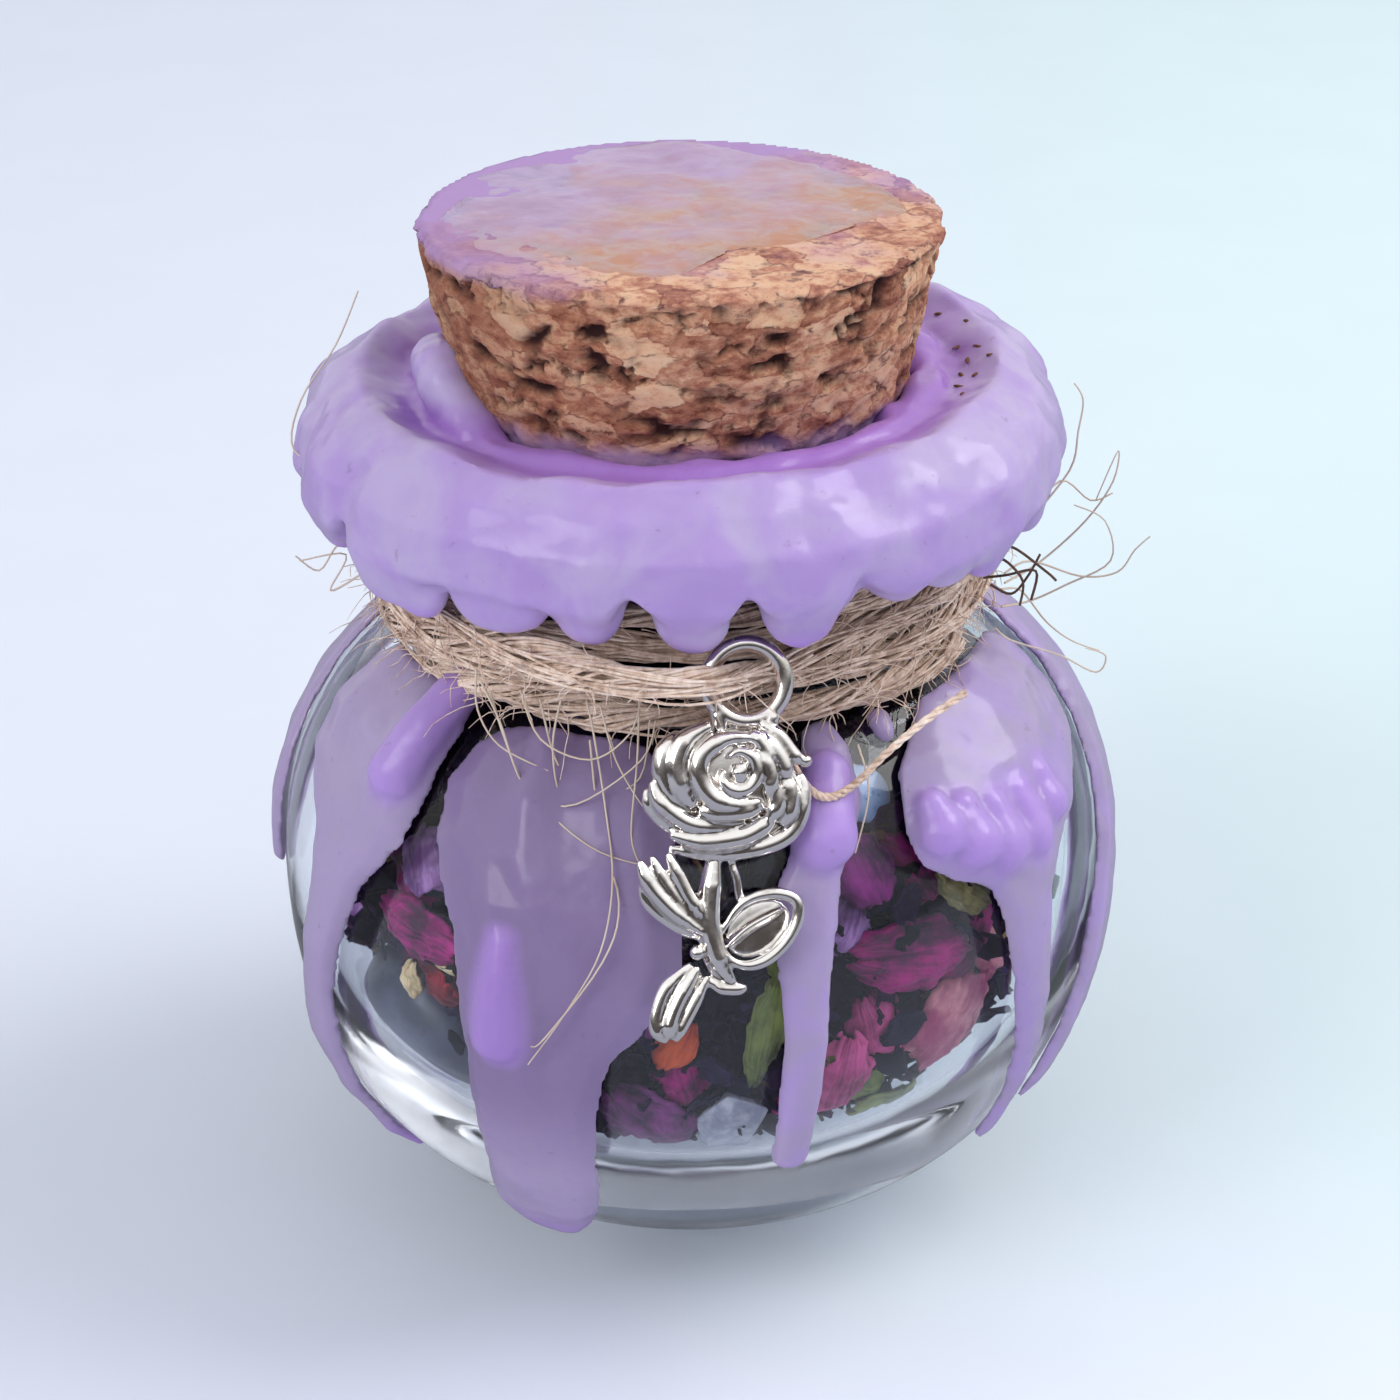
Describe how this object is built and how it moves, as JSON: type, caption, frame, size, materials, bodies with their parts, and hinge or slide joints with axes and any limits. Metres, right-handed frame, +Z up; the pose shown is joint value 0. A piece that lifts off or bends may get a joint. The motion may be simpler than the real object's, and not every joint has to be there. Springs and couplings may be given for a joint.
{
  "type": "spell jar",
  "caption": "Small round glass jar of dried herbs and petals, corked and sealed with dripping lavender wax, bound with jute twine and hung with a rose charm.",
  "frame": {"origin": "centre of the flat glass foot that the jar stands on", "axes": "+Z up along the jar axis, the charm hangs at the front, towards -Y, and +X is to the right of a viewer who faces it"},
  "size_m": [0.049, 0.0519, 0.0588],
  "materials": {
    "clear_glass": "smooth clear blown glass",
    "cork": "pressed cork chips with dark pits",
    "film_wax": "thin mauve wax film",
    "rim_wax": "smooth lavender candle wax",
    "run_wax": "translucent greyer lavender wax",
    "jute": "two-ply jute twine with loose fibres",
    "plated_metal": "bright silver plating on a casting",
    "dark_herbs": "dry near-black herbs",
    "grey_stone": "tumbled, satin",
    "quartz": "clear broken quartz",
    "pale_stone": "tumbled, satin",
    "magenta_petal": "dry petal with fine veins",
    "purple_petal": "dry petal with fine veins",
    "red_petal": "dry petal",
    "orange_petal": "dry petal",
    "pink_petal": "dry petal with fine veins",
    "green_leaf": "dry leaf with a midrib",
    "olive_leaf": "dry leaf with a midrib",
    "cream_petal": "dry floret"
  },
  "bodies": {
    "jar": {"glass_jar": "clear_glass", "cork_stopper": "cork", "cork_film": "film_wax", "rim_wax": "rim_wax", "twine": "jute", "wax_run_far_left": "run_wax", "wax_run_left": "run_wax", "wax_run_front": "run_wax", "wax_run_thin": "run_wax", "wax_run_short": "run_wax", "wax_run_right": "run_wax", "wax_run_far_right": "run_wax", "wax_run_back_right": "run_wax", "wax_run_back": "run_wax", "wax_run_back_left": "run_wax", "dried_herbs": "dark_herbs", "tumbled_stone": "grey_stone", "quartz_chip": "quartz", "blue_stone": "pale_stone", "petal_magenta_left": "magenta_petal", "petal_purple_left": "purple_petal", "petal_red_small": "red_petal", "petal_orange": "orange_petal", "petal_purple_low": "purple_petal", "petal_magenta_right": "magenta_petal", "petal_magenta_top": "magenta_petal", "petal_pink_right": "pink_petal", "petal_pink_low": "pink_petal", "leaf_centre": "green_leaf", "leaf_low_right": "green_leaf", "leaf_olive": "olive_leaf", "cream_floret": "cream_petal", "petal_back_1": "magenta_petal", "petal_back_2": "pink_petal", "petal_back_3": "purple_petal", "petal_back_4": "magenta_petal", "leaf_back_1": "green_leaf", "leaf_back_2": "olive_leaf", "leaf_back_3": "green_leaf"},
    "charm": {"rose_charm": "plated_metal"}
  },
  "joints": [
    {"name": "charm_swing", "type": "hinge", "parent": "jar", "child": "charm", "pos_m": [0.00293, -0.01847, 0.04045], "axis": [-0.6365, -0.7322, 0.2425], "range_deg": [0, 70]}
  ]
}
